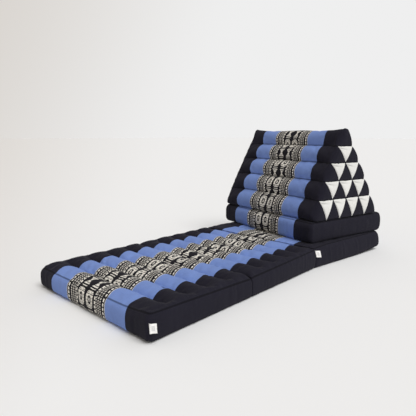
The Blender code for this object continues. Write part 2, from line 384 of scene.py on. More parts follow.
class Maker:
    """Turns skins into Blender objects and finishes them."""

    @staticmethod
    def mesh_object(name: str, skin: Skin, material: bpy.types.Material) -> bpy.types.Object:
        """Make a smooth-shaded object from a skin.

        Args:
            name: The piece's name.
            skin: Its skin.
            material: The material on every face.

        Returns:
            The new object.
        """
        mesh = bpy.data.meshes.new(name)
        count = len(skin.quads)
        mesh.vertices.add(len(skin.points))
        mesh.vertices.foreach_set("co", skin.points.astype(np.float32).ravel())
        mesh.loops.add(count * 4)
        mesh.loops.foreach_set("vertex_index", skin.quads.astype(np.int32).ravel())
        mesh.polygons.add(count)
        mesh.polygons.foreach_set("loop_start", np.arange(0, count * 4, 4, dtype=np.int32))
        mesh.update(calc_edges=True)
        layer = mesh.uv_layers.new(name="cloth")
        layer.data.foreach_set("uv", skin.cloth.astype(np.float32).ravel())
        for label, values in (("crease_shade", skin.crease_shade), ("seam", skin.seam), ("run", skin.along)):
            layer = mesh.attributes.new(label, "FLOAT", "POINT")
            layer.data.foreach_set("value", values.astype(np.float32))
        mesh.materials.append(material)
        mesh.shade_smooth()
        node = bpy.data.objects.new(name, mesh)
        bpy.context.scene.collection.objects.link(node)
        return node

    @staticmethod
    def read(data: object, name: str) -> Array:
        """Return a mesh layer's vectors, one row each."""
        found = np.zeros(len(data) * 3, np.float32)
        data.foreach_get(name, found)
        return found.reshape(-1, 3).astype(float)

    @staticmethod
    def places(node: bpy.types.Object) -> Array:
        """Return an object's vertex places as an array."""
        return Maker.read(node.data.vertices, "co")

    @staticmethod
    def move(node: bpy.types.Object, points: Array) -> None:
        """Put an object's vertices at the given places."""
        node.data.vertices.foreach_set("co", points.astype(np.float32).ravel())
        node.data.update()

    @staticmethod
    def gather(node: bpy.types.Object, skin: Skin, seed: int) -> None:
        """Gather a skin's cloth along its seams.

        A vertex moves along its normal by the gathers' depth, times a seeded ripple along the
        seam, times a fall-off that is 0 on the seam, highest a few mm from it and gone a few cm
        away. A broader ripple, a third as deep, reaches over the whole panel.

        Args:
            node: The object to change.
            skin: Its skin, for the seams.
            seed: Seed of the ripples.
        """
        near = np.exp(-skin.clear / 0.011) * (1 - np.exp(-skin.clear / 0.0025))
        fine = ripple(skin.along, 0.35 * skin.clear, 0.017, seed)
        broad = ripple(skin.along, skin.clear, 0.13, seed + 1) * (1 - np.exp(-skin.clear / 0.01))
        shift = GATHER * (near * fine + 0.35 * broad)
        shift = np.where(skin.held & (skin.clear > 0.5), 0.0, shift)
        normals = Maker.read(node.data.vertex_normals, "vector")
        Maker.move(node, Maker.places(node) + normals * shift[:, None])

    @staticmethod
    def refine(node: bpy.types.Object, levels: int = 1) -> None:
        """Add a subdivision surface that renders as it shows."""
        smooth = node.modifiers.new("fine cloth", "SUBSURF")
        smooth.levels = levels
        smooth.render_levels = levels
        smooth.uv_smooth = "PRESERVE_BOUNDARIES"

    @staticmethod
    def enter(node: bpy.types.Object, slot: SlotName, solid: str = "") -> None:
        """Put a piece in the frame.

        Args:
            node: The piece.
            slot: Its material slot; not used.
            solid: The solid it replaces, if any.
        """
        if solid:
            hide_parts(solid)
        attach(node, "root")
        LOG.info("built %s", node.name)


@dataclass(frozen=True)
class Stuffing:
    """How firmly a cover is filled: pressure, slack of the cloth and the farthest a point may go."""

    pressure: float = 4.0
    slack: float = 0.02
    reach: float = 0.005
    frames: int = 16

    def fill(self, node: bpy.types.Object, held: Array) -> None:
        """Let the cloth out between its seams by simulation, and keep the result.

        Args:
            node: The cover, whose held vertices stay put.
            held: Mask of the vertices that are sewn or pressed.
        """
        before = Maker.places(node)
        pins = node.vertex_groups.new(name="sewn")
        pins.add(np.flatnonzero(held).tolist(), 1.0, "REPLACE")
        cloth = node.modifiers.new("stuffing", "CLOTH")
        settings = cloth.settings
        settings.quality = 4
        settings.mass = 0.25
        settings.tension_stiffness = 12
        settings.compression_stiffness = 8
        settings.shear_stiffness = 5
        settings.bending_stiffness = 0.4
        settings.vertex_group_mass = "sewn"
        settings.use_pressure = True
        settings.uniform_pressure_force = self.pressure
        settings.shrink_min = -self.slack
        settings.shrink_max = -self.slack
        settings.effector_weights.gravity = 0
        cloth.collision_settings.use_collision = False
        cloth.point_cache.frame_start = 1
        cloth.point_cache.frame_end = self.frames + 1
        scene = bpy.context.scene
        for step in range(1, self.frames + 1):
            scene.frame_set(step)
        shown = node.evaluated_get(bpy.context.evaluated_depsgraph_get())
        moved = Maker.places(shown) - before
        far = np.linalg.norm(moved, axis=1, keepdims=True)
        moved *= np.minimum(1.0, self.reach / np.maximum(far, 1e-9))
        node.modifiers.remove(cloth)
        node.vertex_groups.clear()
        scene.frame_set(1)
        Maker.move(node, before + moved)
        farthest = 1000 * float(np.minimum(far, self.reach).max())
        LOG.info("%s: cloth let out by up to %.1f mm", node.name, farthest)


# --- Finishes ----------------------------------------------------------------------------
class Graph:
    """A thin, typed wrapper round a shader node tree."""

    def __init__(self, tree: bpy.types.NodeTree) -> None:
        """Keep the tree that new nodes go into."""
        self.tree = tree

    def add(self, kind: str, **settings: object) -> bpy.types.Node:
        """Add a node and set its own properties."""
        node = self.tree.nodes.new(kind)
        for name, value in settings.items():
            setattr(node, name, value)
        return node

    def feed(self, socket: bpy.types.NodeSocket, value: object) -> None:
        """Link a socket to another, or set its value. A colour may be given without its alpha."""
        if isinstance(value, bpy.types.NodeSocket):
            self.tree.links.new(value, socket)
        elif isinstance(value, tuple) and len(socket.default_value) == 4 and len(value) == 3:
            socket.default_value = (*value, 1.0)
        else:
            socket.default_value = value

    def group(self, tree: bpy.types.NodeTree, **values: object) -> bpy.types.NodeOutputs:
        """Add a shared group and return its outputs. An underscore in a name is read as a space."""
        node = self.add("ShaderNodeGroup", node_tree=tree)
        for name, value in values.items():
            self.feed(node.inputs[name.replace("_", " ")], value)
        return node.outputs

    def math(self, operation: str, *values: object) -> bpy.types.NodeSocket:
        """Add a Math node on up to three values and return its result."""
        node = self.add("ShaderNodeMath", operation=operation)
        for socket, value in zip(node.inputs, values):
            self.feed(socket, value)
        return node.outputs[0]

    def vector(self, operation: str, first: object, second: object) -> bpy.types.NodeOutputs:
        """Add a Vector Math node on two vectors and return its outputs."""
        node = self.add("ShaderNodeVectorMath", operation=operation)
        self.feed(node.inputs[0], first)
        self.feed(node.inputs[1], second)
        return node.outputs

    def scaled(self, value: object, factor: object, offset: object) -> bpy.types.NodeSocket:
        """Return a value times a factor, plus an offset."""
        return self.math("MULTIPLY_ADD", value, factor, offset)

    def product(self, *values: object) -> bpy.types.NodeSocket:
        """Return the product of several values."""
        result = values[0]
        for value in values[1:]:
            result = self.math("MULTIPLY", result, value)
        return result

    def any_of(self, *masks: object) -> bpy.types.NodeSocket:
        """Return the largest of several masks."""
        result = masks[0]
        for mask in masks[1:]:
            result = self.math("MAXIMUM", result, mask)
        return result

    def below(self, value: object, limit: object) -> bpy.types.NodeSocket:
        """Return 1 where a value is less than a limit, and 0 elsewhere."""
        return self.math("LESS_THAN", value, limit)

    def above(self, value: object, limit: object) -> bpy.types.NodeSocket:
        """Return 1 where a value is greater than a limit, and 0 elsewhere."""
        return self.math("GREATER_THAN", value, limit)

    def between(self, value: object, low: float, high: float) -> bpy.types.NodeSocket:
        """Return 1 where a value lies between two limits, and 0 elsewhere."""
        return self.product(self.above(value, low), self.below(value, high))

    def without(self, mask: object, cut: object) -> bpy.types.NodeSocket:
        """Return a mask with another cut out of it."""
        return self.product(mask, self.math("SUBTRACT", 1.0, cut))

    def dashes(self, value: object, pitch: float, filled: float, start: float = 0.0) -> bpy.types.NodeSocket:
        """Return 1 on the filled share of every pitch along a value, and 0 in between."""
        return self.below(self.math("FRACT", self.scaled(value, 1 / pitch, start + 100.0)), filled)

    def smooth(self, value: object, low: float, high: float) -> bpy.types.NodeSocket:
        """Return a smooth step that is 0 at the low value and 1 at the high one."""
        node = self.add("ShaderNodeMapRange", interpolation_type="SMOOTHSTEP")
        self.feed(node.inputs["Value"], value)
        node.inputs["From Min"].default_value = low
        node.inputs["From Max"].default_value = high
        return node.outputs[0]

    def parts(self, vector: object) -> bpy.types.NodeOutputs:
        """Return a vector's x, y and z."""
        node = self.add("ShaderNodeSeparateXYZ")
        self.feed(node.inputs[0], vector)
        return node.outputs

    def mark(self, name: str) -> bpy.types.NodeSocket:
        """Return one of the skin's seam marks."""
        return self.add("ShaderNodeAttribute", attribute_name=name).outputs["Fac"]

    def mix(self, share: object, first: object, second: object, blend: str = "MIX") -> bpy.types.NodeSocket:
        """Mix two colours.

        Args:
            share: How much of the second colour there is.
            first: The first colour.
            second: The second colour.
            blend: How they are mixed.

        Returns:
            The mixed colour.
        """
        node = self.add("ShaderNodeMix", data_type="RGBA", blend_type=blend)
        factor, colours = node.inputs["Factor"], [node.inputs[6], node.inputs[7]]
        for socket, value in zip([factor, *colours], [share, first, second]):
            self.feed(socket, value)
        return node.outputs[2]

    def noise(self, vector: object, scale: float, detail: float, rough: float = 0.5) -> bpy.types.NodeSocket:
        """Add a noise texture.

        Args:
            vector: Where it is read.
            scale: Its scale.
            detail: Its number of octaves.
            rough: The weight of each octave against the one before.

        Returns:
            Its value, 0 to 1.
        """
        node = self.add("ShaderNodeTexNoise")
        for name, value in (("Vector", vector), ("Scale", scale), ("Detail", detail), ("Roughness", rough)):
            self.feed(node.inputs[name], value)
        return node.outputs["Fac"]


def new_group(name: str, inputs: dict, outputs: dict) -> tuple:
    """Start a shader node group.

    Args:
        name: The group's name.
        inputs: Socket type of each input by its name.
        outputs: Socket type of each output by its name.

    Returns:
        The group, its graph, the outputs of its input node and its output node.
    """
    group = bpy.data.node_groups.new(name, "ShaderNodeTree")
    for way, sockets in (("INPUT", inputs), ("OUTPUT", outputs)):
        for label, kind in sockets.items():
            group.interface.new_socket(name=label, in_out=way, socket_type="NodeSocket" + kind)
    graph = Graph(group)
    return group, graph, graph.add("NodeGroupInput").outputs, graph.add("NodeGroupOutput")


class ClothEffects:
    """The node groups that the cloths share."""

    def __init__(self) -> None:
        """Build each group once."""
        self.weave = self._weave()
        self.age = self._age()
        self.stitching = self._stitching()

    @staticmethod
    def _weave() -> bpy.types.NodeTree:
        """Build the plain weave: relief of crossing threads and flecks of uneven yarn.

        The relief is the product of a sine across and a sine along, which is a small chequer
        of thread crossings. The flecks are noise drawn out along the warp and along the weft.

        Returns:
            The group, from Place and Thread Count to Relief and Fleck.
        """
        group, graph, given, result = new_group(
            "plain weave", {"Place": "Vector", "Thread Count": "Float"},
            {"Relief": "Float", "Fleck": "Float"})
        x, y, _ = graph.parts(given["Place"])
        pace = graph.product(given["Thread Count"], 2 * math.pi)
        crossings = graph.product(graph.math("SINE", graph.product(x, pace)),
                                  graph.math("SINE", graph.product(y, pace)))
        graph.feed(result.inputs["Relief"], graph.scaled(crossings, 0.5, 0.5))
        yarns = []
        for drawn_out in ((900.0, 60.0, 1.0), (60.0, 900.0, 1.0)):
            yarns.append(graph.noise(graph.vector("MULTIPLY", given["Place"], drawn_out)[0], 1.0, 3.0))
        graph.feed(result.inputs["Fleck"], graph.product(graph.math("ADD", *yarns), 0.5))
        return group

    @staticmethod
    def _age() -> bpy.types.NodeTree:
        """Build the slow unevenness of washed cloth.

        Returns:
            The group, from Place to Patch, 0 to 1, and Rumple, a height for small creases.
        """
        group, graph, given, result = new_group(
            "washed cloth", {"Place": "Vector"}, {"Patch": "Float", "Rumple": "Float"})
        graph.feed(result.inputs["Patch"], graph.noise(given["Place"], 11.0, 4.0, 0.6))
        graph.feed(result.inputs["Rumple"], graph.noise(given["Place"], 55.0, 3.0, 0.55))
        return group

    @staticmethod
    def _stitching() -> bpy.types.NodeTree:
        """Build the look of a sewn seam from the distance to it and the length along it.

        Returns:
            The group, from Gap and Run in metres to Line, the seam itself, Thread, a row of
            short stitches beside it, and Rub, a band beside it where the cloth wears first.
        """
        group, graph, given, result = new_group(
            "sewn seam", {"Gap": "Float", "Run": "Float"},
            {"Line": "Float", "Thread": "Float", "Rub": "Float"})
        line = graph.smooth(given["Gap"], 0.0022, 0.0006)
        graph.feed(result.inputs["Line"], line)
        graph.feed(result.inputs["Thread"], graph.product(graph.between(given["Gap"], 0.0029, 0.0036),
                                                          graph.dashes(given["Run"], 0.0036, 0.62)))
        fading = graph.math("EXPONENT", graph.product(given["Gap"], -140.0))
        graph.feed(result.inputs["Rub"], graph.without(fading, line))
        return group


@dataclass(frozen=True)
class Cotton:
    """A matt woven cotton.

    Attributes:
        name: The material's name.
        colour: Its plain dyed colour.
        fleck: How much lighter and darker the flecks are.
        threads: Threads per metre.
        relief: Height of the threads in metres.
        roughness: Its mean roughness.
        sheen: Weight of the fuzz's sheen.
        rub: How much lighter it is where it wears beside the seams.
        patchy: How much the slow patches differ.
        shade_in_creases: How much darker the painted shade in the creases makes it.
        line: How much darker it is in a seam.
        thread: How much lighter the stitches are.
    """

    name: str
    colour: tuple
    fleck: float = 0.25
    threads: float = 700.0
    relief: float = 0.00012
    roughness: float = 0.92
    sheen: float = 0.03
    rub: float = 0.30
    patchy: float = 0.24
    shade_in_creases: float = 0.35
    line: float = 0.45
    thread: float = 0.25

    def paint(self, graph: Graph, place: bpy.types.NodeSocket) -> object:
        """Return the cloth's colour before fleck, wear and painted shade: a plain dyed colour."""
        return self.colour

    def material(self, effects: ClothEffects) -> bpy.types.Material:
        """Build the cloth's material.

        The painted colour is lightened and darkened by the flecks and by slow patches, is darker
        inside seams, and is darkened by painted shade in the creases beside them. The relief of the threads,
        small creases and stitches feed one bump.

        Args:
            effects: The shared node groups.

        Returns:
            The material.
        """
        material = bpy.data.materials.new(self.name)
        material.use_nodes = True
        graph = Graph(material.node_tree)
        shader = material.node_tree.nodes["Principled BSDF"]
        place = graph.add("ShaderNodeUVMap", uv_map="cloth").outputs[0]
        weave = graph.group(effects.weave, Place=place, Thread_Count=self.threads)
        age = graph.group(effects.age, Place=graph.add("ShaderNodeTexCoord").outputs["Object"])
        sewn = graph.group(effects.stitching, Gap=graph.mark("seam"), Run=graph.mark("run"))
        shade = graph.product(
            graph.scaled(weave["Fleck"], 2 * self.fleck, 1 - self.fleck),
            graph.scaled(age["Patch"], self.patchy, 1 - self.patchy / 2),
            # painted shade in the creases beside the seams and in the white patches' folds; on those patches
            # it also darkens their seams' outline
            graph.scaled(graph.math("POWER", graph.mark("crease_shade"), 1.6), -self.shade_in_creases, 1.0),
            graph.scaled(sewn["Line"], -self.line, 1.0),
            graph.scaled(graph.product(sewn["Rub"], age["Patch"]), self.rub, 1.0),
            graph.scaled(sewn["Thread"], self.thread, 1.0))
        tinted = graph.add("ShaderNodeVectorMath", operation="SCALE")
        graph.feed(tinted.inputs[0], self.paint(graph, place))
        graph.feed(tinted.inputs["Scale"], shade)
        graph.feed(shader.inputs["Base Color"], tinted.outputs[0])
        height = graph.scaled(age["Rumple"], 6.0, weave["Relief"])
        bump = graph.add("ShaderNodeBump")
        bump.inputs["Strength"].default_value = 0.8
        bump.inputs["Distance"].default_value = self.relief
        graph.feed(bump.inputs["Height"], graph.scaled(sewn["Thread"], 3.0, height))
        graph.feed(shader.inputs["Normal"], bump.outputs[0])
        graph.feed(shader.inputs["Roughness"], graph.scaled(weave["Fleck"], -0.12, self.roughness + 0.06))
        shader.inputs["Sheen Weight"].default_value = self.sheen
        shader.inputs["Sheen Roughness"].default_value = 0.5
        shader.inputs["Specular IOR Level"].default_value = 0.12
        return material


@dataclass(frozen=True)
class LabelTape(Cotton):
    """White woven tape with a few faint grey lines, too small to say anything."""

    ink: tuple = (0.30, 0.30, 0.33)
    strength: float = 0.8

    def paint(self, graph: Graph, place: bpy.types.NodeSocket) -> object:
        """Return white with a short stack of broken grey lines in the middle.

        Args:
            graph: The material's graph.
            place: The place on the label.

        Returns:
            The colour.
        """
        x, y, _ = graph.parts(place)
        across = graph.between(x, 0.28 * LABEL_WIDTH, 0.74 * LABEL_WIDTH)
        stack = graph.between(y, 0.26 * LABEL_HEIGHT, 0.78 * LABEL_HEIGHT)
        rows = graph.dashes(y, 0.0023, 0.45)
        words = graph.dashes(graph.scaled(y, 3.1, x), 0.0041, 0.8)
        marks = graph.product(across, stack, rows, words, self.strength)
        return graph.mix(marks, self.colour, self.ink)


@dataclass(frozen=True)
class Squares:
    """A row of small squares along the band: its two edges, its pitch and the filled share of it."""

    low: float
    high: float
    pitch: float
    filled: float
    start: float = 0.0

    def mask(self, graph: Graph, q: object, v: object) -> bpy.types.NodeSocket:
        """Return where the squares are."""
        return graph.product(graph.between(q, self.low, self.high),
                             graph.dashes(v, self.pitch, self.filled, self.start))


@dataclass(frozen=True)
class Ladders:
    """Narrow ladders of slanting rungs between black rails, side by side.

    Attributes:
        low: Where the first ladder starts across the band.
        high: Where the last one ends.
        pitch: From one ladder to the next.
        rail: Share of the pitch that its rail takes.
        slant: How far a rung climbs across the pitch, in metres.
        step: From rung to rung, in metres.
        rung: Share of the step that is rung.
        strength: How bright the rungs are.
    """

    low: float = 0.165
    high: float = 0.458
    pitch: float = 0.098
    rail: float = 0.46
    slant: float = 0.0040
    step: float = 0.0066
    rung: float = 0.60
    strength: float = 0.74

    def mask(self, graph: Graph, q: object, v: object) -> bpy.types.NodeSocket:
        """Return where the rungs are."""
        column = graph.math("FRACT", graph.scaled(q, 1 / self.pitch, 100 - self.low / self.pitch))
        rungs = graph.dashes(graph.scaled(column, self.slant, v), self.step, self.rung)
        return graph.product(graph.above(column, self.rail), rungs, graph.between(q, self.low, self.high),
                             self.strength)


@dataclass(frozen=True)
class Motifs:
    """The column of figures in the band's middle: slotted blocks and hourglasses in turn, on black.

    Attributes:
        middle: Where the column's middle is across the band.
        half: Half its width.
        period: From block to block, in metres.
        phase: Where along the period the cloth starts.
        block: A block's middle and half length, as shares of the period.
        glass: An hourglass's middle and half length, as shares of the period.
        bars: Start and end of the two short bars, as shares of the period.
        picks: Pitch of the darker picks in metres, their share of it and how much darker they are.
        strength: How bright the figures are between the picks.
    """

    middle: float = 0.778
    half: float = 0.172
    period: float = 0.103
    phase: float = 0.493
    block: tuple = (0.27, 0.228)
    glass: tuple = (0.765, 0.155)
    bars: tuple = ((0.538, 0.562), (0.962, 0.984))
    picks: tuple = (0.0086, 0.26, 0.50)
    strength: float = 0.94

    def mask(self, graph: Graph, q: object, v: object) -> bpy.types.NodeSocket:
        """Return where the figures are.

        Args:
            graph: The material's graph.
            q: The place across the band.
            v: The place along it, in metres.

        Returns:
            The mask, crossed by the darker picks of the weft.
        """
        x = graph.math("ABSOLUTE", graph.scaled(q, 1 / self.half, -self.middle / self.half))
        y = graph.math("FRACT", graph.scaled(v, 1 / self.period, 100 + self.phase))
        bars = graph.any_of(*[graph.between(y, *bar) for bar in self.bars])
        figures = graph.any_of(self._block(graph, x, self._local(graph, y, self.block)),
                               self._hourglass(graph, x, self._local(graph, y, self.glass)),
                               graph.product(bars, graph.below(x, 0.72)))
        pitch, share, darker = self.picks
        return graph.product(figures, graph.scaled(graph.dashes(v, pitch, share), -darker, self.strength))

    @staticmethod
    def _local(graph: Graph, y: object, figure: tuple) -> bpy.types.NodeSocket:
        """Return the distance along from a figure's middle, 1 at its end."""
        middle, half = figure
        return graph.math("ABSOLUTE", graph.scaled(y, 1 / half, -middle / half))

    @staticmethod
    def _block(graph: Graph, x: object, y: object) -> bpy.types.NodeSocket:
        """Return a block: a superellipse with a dark ring for a slot and fine rules across its ends.

        Args:
            graph: The material's graph.
            x: Distance from the column's middle, 1 at its side.
            y: Distance along from the block's middle, 1 at its end.

        Returns:
            The mask.
        """
        def oval(wide: float, long: float) -> bpy.types.NodeSocket:
            """Return a measure that is 1 on the edge of an oval of this half width and length."""
            return graph.math("ADD", graph.math("POWER", graph.math("DIVIDE", x, wide), 2.4),
                              graph.math("POWER", graph.math("DIVIDE", y, long), 2.4))

        outline = graph.math("ADD", graph.math("POWER", x, 3.6), graph.math("POWER", y, 5.0))
        ring = graph.product(graph.below(oval(0.46, 0.50), 1.0), graph.above(oval(0.17, 0.24), 1.0))
        rules = graph.any_of(graph.between(y, 0.60, 0.66), graph.between(y, 0.77, 0.82))
        rules = graph.product(rules, graph.above(x, 0.12))
        return graph.without(graph.below(outline, 0.88), graph.any_of(ring, rules))

    @staticmethod
    def _hourglass(graph: Graph, x: object, y: object) -> bpy.types.NodeSocket:
        """Return an hourglass that widens from its waist by a power of the distance, with a nick."""
        waist = graph.scaled(graph.math("POWER", y, 1.3), 0.66, 0.22)
        nick = graph.product(graph.between(y, 0.66, 0.76), graph.below(x, 0.5))
        return graph.without(graph.product(graph.below(x, waist), graph.below(y, 1.0)), nick)


@dataclass(frozen=True)
class StripedCotton(Cotton):
    """The cover cloth: navy sides, blue stripes and a woven band of black and cream."""

    blue: tuple = (0.175, 0.262, 0.560)
    cream: tuple = (0.82, 0.785, 0.71)
    black: tuple = (0.012, 0.011, 0.015)
    thin_line: float = 0.018
    rows: tuple = (Squares(0.066, 0.122, 0.0112, 0.68), Squares(0.478, 0.532, 0.0118, 0.66, 0.3),
                   Ladders(), Motifs())

    def paint(self, graph: Graph, place: bpy.types.NodeSocket) -> object:
        """Return the striped colour.

        The distance from the middle of the width chooses navy, blue or the band. Within the
        band, q runs from 0 at its outer edge to 1 in the middle, so both halves mirror. A fine
        noise shifts q and v, which leaves the figures' edges ragged as in weaving.

        Args:
            graph: The material's graph.
            place: The place on the cloth.

        Returns:
            The colour.
        """
        across, along, _ = graph.parts(place)
        aside = graph.math("ABSOLUTE", across)
        ragged = graph.math("SUBTRACT", graph.noise(place, 420.0, 1.0), 0.5)
        q = graph.scaled(ragged, 0.040, graph.scaled(aside, -1 / BAND_EDGE, 1.0))
        v = graph.scaled(ragged, -0.0030, along)
        thin = graph.between(q, 0.0, self.thin_line)
        figures = graph.any_of(thin, *[row.mask(graph, q, v) for row in self.rows])
        band = graph.mix(figures, self.black, self.cream)
        plain = graph.mix(graph.below(aside, BLUE_EDGE), self.colour, self.blue)
        return graph.mix(graph.below(aside, BAND_EDGE), plain, band)


# --- Cushions ----------------------------------------------------------------------------
class Cover:
    """What every stuffed cover does with its skin: stuff it, gather it and put it in the frame."""

    name: str
    node: str
    seed: int
    fullness: float

    def skin(self) -> Skin:
        """Work the whole cover out as one closed skin."""
        raise NotImplementedError

    def settle(self, node: bpy.types.Object) -> None:
        """Lay the stuffed cover on what is under it. By default it is left as it is."""

    def build(self, material: bpy.types.Material, stuffing: Stuffing) -> bpy.types.Object:
        """Make the cover, stuff it and put it in the frame.

        Args:
            material: Its cloth.
            stuffing: How firmly it is filled.

        Returns:
            The piece.
        """
        skin = self.skin()
        node = Maker.mesh_object(self.name, skin, material)
        stuffing.fill(node, skin.held)
        Maker.gather(node, skin, self.seed * 10)
        self.settle(node)
        Maker.refine(node)
        Maker.enter(node, SlotName.NAVY, self.node)
        return node


@dataclass
class MatCover(Cover):
    """The stuffed cover of one box mat: five rolls across the width over bulging walls.

    Attributes:
        name: The piece's name.
        node: The solid it replaces.
        near: Its cross edge towards the foot.
        far: Its cross edge towards the wedge.
        loft: How full it stands.
        base: Height of its underside.
        near_free: Bulge of the near wall, in wall bulges.
        far_free: Bulge of the far wall, in wall bulges.
        pulls: How far the right seam is drawn up at the near and the far end.
        tuck: How far the top panel is drawn in under what lies on it.
        sink: How far the near end sinks over the joint beneath it.
        corner_lift: How far the underside lifts off at the far right corner.
        seed: Seed of its unevenness.
        fullness: How full the padding is; not used.
        steps_channel: Steps of the grid along each channel.
        steps_across: Steps of the grid across the width.
        wall_levels: Loops of vertices round the walls.
    """

    name: str
    node: str
    near: Edge
    far: Edge
    loft: Loft = OPEN
    base: float = 0.0
    near_free: float = 1.0
    far_free: float = 1.0
    pulls: tuple = (0.0, 0.0)
    tuck: float = 0.0
    sink: float = 0.0
    corner_lift: float = 0.0
    seed: int = 1
    fullness: float = 0.85
    steps_channel: int = 14
    steps_across: int = 72
    wall_levels: int = 9

    def plan(self, s: Array, t: Array, spread: Array, narrow: float = 0.0) -> Array:
        """Return plan points of the mat's grid, swollen past its seams by a spread.

        The rectangle of the seams is let out by the spread, its corners are rounded, and its
        lengths are carried between the two cross edges, straight on past either of them.

        Args:
            s: Shares along the mat.
            t: Shares across it.
            spread: Swelling past the seams.
            narrow: How far the two sides are drawn in.

        Returns:
            Plan points on the same grid.
        """
        near_spread, far_spread = spread * self.near_free, spread * self.far_free
        size = (MAT_LENGTH + near_spread + far_spread, WIDTH + 2 * (spread - narrow))
        radii = (self.corner(self.near_free), self.corner(self.far_free))
        x, y = rounded(s * size[0], t * size[1], size, *radii)
        past_near = np.minimum(x - near_spread, 0.0)[..., None]
        past_far = np.maximum(x - near_spread - MAT_LENGTH, 0.0)[..., None]
        along = np.clip((x - near_spread) / MAT_LENGTH, 0.0, 1.0)[..., None]
        share = (y - spread + narrow) / WIDTH
        between = (1 - along) * self.near.point(share) + along * self.far.point(share)
        return between + past_near * self.near.forward() + past_far * self.far.forward()

    @staticmethod
    def corner(free: float) -> float:
        """Return the plan radius of the corners at a cross edge, small where mats are joined."""
        return MAT_CORNER if free >= 1.0 else JOINED_CORNER * MAT_CORNER

    def seam_height(self, s: Array, t: Array) -> Array:
        """Return the height of the seam line, drawn up or down along the right side."""
        pull = self.pulls[0] * (1 - s) + self.pulls[1] * s
        return self.loft.seam + pull * np.exp(-(t * WIDTH / SEAM_PULL) ** 2)

    def sag(self, s: Array, t: Array, share: float) -> Array:
        """Work out how far the cover drops: its near end down, its far right corner up.

        On the ground the near end's top sinks most, and on another mat its underside does. The
        drop fades along the mat like a bell. The corner lifts by rising powers of the shares.

        Args:
            s: Shares along the mat.
            t: Shares across it.
            share: Share of the cover's height.

        Returns:
            The drop on the same grid.
        """
        weight = share if self.base == 0.0 else 1.0 - share
        down = self.sink * weight * np.exp(-(s * MAT_LENGTH / SINK_RUN) ** 2)
        lengthways = np.clip((s - LIFT_START) / (1 - LIFT_START), 0, 1) ** 1.3
        corner = lengthways * np.clip(1 - t * WIDTH / LIFT_WIDTH, 0, 1) ** 2
        return down - self.corner_lift * (1 - share) * corner

    def top_height(self, s: Array, t: Array) -> Array:
        """Return the height of the channelled top panel.

        The crown line rises from the side seams like a quarter ellipse. The stitched valleys
        sink below it by a smooth step that starts a little way in from the seam, and each
        channel is an arch between two of them. Rolls differ a little in height.

        Args:
            s: Shares along the mat.
            t: Shares across it.

        Returns:
            Heights above the underside on the same grid.
        """
        cell = np.minimum(np.floor(s * CHANNELS), CHANNELS - 1)
        from_side = from_ends(t) * WIDTH
        rise = np.sqrt(1 - (1 - np.clip(from_side / CROWN_RUN, 0, 1)) ** 2)
        uneven = 1 - ROLL_UNEVEN * (1 + ripple(cell * ROLL_STEP, t * WIDTH, ROLL_WAVE, self.seed))
        seam = self.seam_height(s, t)
        crown = seam + (MAT_HEIGHT - seam) * rise * uneven
        step = np.clip((from_side - GROOVE_START) / GROOVE_RUN, 0, 1)
        valley = crown - (MAT_HEIGHT - self.loft.valley) * step * step * (3 - 2 * step)
        valley = valley + (seam - valley) * np.clip(1 - from_ends(s) * MAT_LENGTH / EDGE_RUN, 0, 1)
        return valley + (crown - valley) * arch(s * CHANNELS - cell)

    def spread_at(self, share: Array) -> Array:
        """Return a wall's spread at a share of the seam's height: a flat-topped swell."""
        foot = np.clip(1 - share / WALL_FOOT_SHARE, 0, 1) ** 2
        return WALL_BULGE * WALL_SWELL * (1 - np.abs(2 * share - 1) ** 4) - WALL_FOOT * foot

    def skin(self) -> Skin:
        """Work the whole cover out as one closed skin.

        The walls swell, and small seeded rumples stand out of them, most at mid height.

        Returns:
            The skin, in the frame's place.
        """
        cells = evenly(self.steps_channel, 0.07)[:-1]
        s_line = np.append((np.arange(CHANNELS)[:, None] + cells[None, :]).ravel() / CHANNELS, 1.0)
        s, t = np.meshgrid(s_line, evenly(self.steps_across, 0.055), indexing="ij")
        crown = self.base + self.top_height(s, t) - self.sag(s, t, 1.0)
        top = np.concatenate([self.plan(s, t, 0.0, self.tuck), crown[..., None]], axis=-1)
        shares = 1 - evenly(self.wall_levels + 1, 0.06)[1:-1]
        rumple = sum(depth * ripple(s * MAT_LENGTH, t * WIDTH, wave, self.seed + 40 + number)
                     for number, (depth, wave) in enumerate(RUMPLES))
        levels = []
        for share in shares:
            spread = self.spread_at(share) + rumple * math.sin(math.pi * share)
            plan = self.plan(s, t, spread, self.tuck * float(share) ** 2)
            height = self.base + share * self.seam_height(s, t) - self.sag(s, t, float(share))
            levels.append(np.concatenate([plan, height[..., None]], -1))
        floor = self.base - self.sag(s, t, 0.0)
        bottom = np.concatenate([self.plan(s, t, -WALL_FOOT), floor[..., None]], axis=-1)
        points, top_index, rows, bottom_index = stacked(top, levels, bottom)

        panels = Panels()
        across = (t - 0.5) * WIDTH
        warp = lengths_along(top[:, s.shape[1] // 2])[:, None] * np.ones_like(t)
        panels.add(top_index, np.stack([across, warp], -1))
        panels.add(bottom_index, np.stack([across + 1.2 * WIDTH, s * MAT_LENGTH], -1), flip=True)
        drop = self.loft.seam * (1 - np.concatenate([[1.0], shares, [0.0]]))[:, None]
        for side in Side:
            run = wall_run(top_index, rows, bottom_index, side)
            panels.add(run, self._wall_cloth(side, s[:, 0], t[0], drop, float(warp.max())))
        return panels.skin(points + chain_origin(), **self._seams(s, t, rows, shares, len(points)))

    @staticmethod
    def _wall_cloth(side: Side, s: Array, t: Array, drop: Array, end: float) -> Array:
        """Return the cloth places of one wall: the stripes run on down the ends, the sides are navy.

        Args:
            side: The wall.
            s: Shares along the mat.
            t: Shares across it.
            drop: How far each level lies below the seam, as a column.
            end: Length of the top panel.

        Returns:
            Cloth places with one row for each level.
        """
        if side in (Side.NEAR, Side.FAR):
            across = ((t[::-1] if side is Side.NEAR else t) - 0.5) * WIDTH + 0 * drop
            return np.stack([across, (-drop if side is Side.NEAR else end + drop) + 0 * across], -1)
        share = s if side is Side.RIGHT else s[::-1]
        return np.stack([0.5 * WIDTH + drop + 0 * share, share * MAT_LENGTH + 0 * drop], -1)

